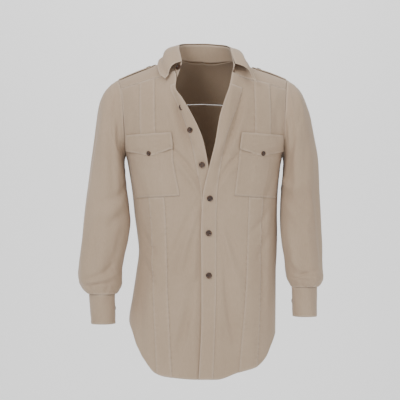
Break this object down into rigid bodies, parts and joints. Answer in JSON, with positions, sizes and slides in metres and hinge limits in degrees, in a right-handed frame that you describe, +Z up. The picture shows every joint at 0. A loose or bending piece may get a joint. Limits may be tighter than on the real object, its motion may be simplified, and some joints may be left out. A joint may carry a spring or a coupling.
{
  "type": "long-sleeved shirt",
  "caption": "Khaki cotton bush shirt as worn and hollow, open at the neck, with flapped chest pockets, stitched pleats, shoulder straps and buttoned cuffs",
  "frame": {"origin": "middle of the shirt between the shoulders, at the height of the shoulder ridge, where its wearer carries it", "axes": "+Z up along the wearer, -Y towards the front, +X towards the wearer's left"},
  "size_m": [0.6303, 0.2782, 0.8666],
  "materials": {
    "khaki_cotton": "matt plain-weave cotton, garment washed",
    "brown_button": "satin horn-brown button with a raised rim"
  },
  "bodies": {
    "root": {"back": "khaki_cotton", "body_strip_left": "khaki_cotton", "body_strip_right": "khaki_cotton", "button_stand": "khaki_cotton", "chest_strip_left": "khaki_cotton", "chest_strip_right": "khaki_cotton", "collar_button": "brown_button", "collar_leaf": "khaki_cotton", "collar_stand": "khaki_cotton", "cuff_button_left": "brown_button", "cuff_button_right": "brown_button", "cuff_left": "khaki_cotton", "cuff_right": "khaki_cotton", "epaulette_button_left": "brown_button", "epaulette_button_right": "brown_button", "epaulette_left": "khaki_cotton", "epaulette_right": "khaki_cotton", "front_button_1": "brown_button", "front_button_2": "brown_button", "front_button_3": "brown_button", "front_button_4": "brown_button", "front_button_5": "brown_button", "front_button_6": "brown_button", "front_left": "khaki_cotton", "front_right": "khaki_cotton", "placket": "khaki_cotton", "pocket_button_left": "brown_button", "pocket_button_right": "brown_button", "pocket_flap_left": "khaki_cotton", "pocket_flap_right": "khaki_cotton", "pocket_left": "khaki_cotton", "pocket_right": "khaki_cotton", "sleeve_left": "khaki_cotton", "sleeve_right": "khaki_cotton", "yoke": "khaki_cotton"}
  },
  "joints": []
}
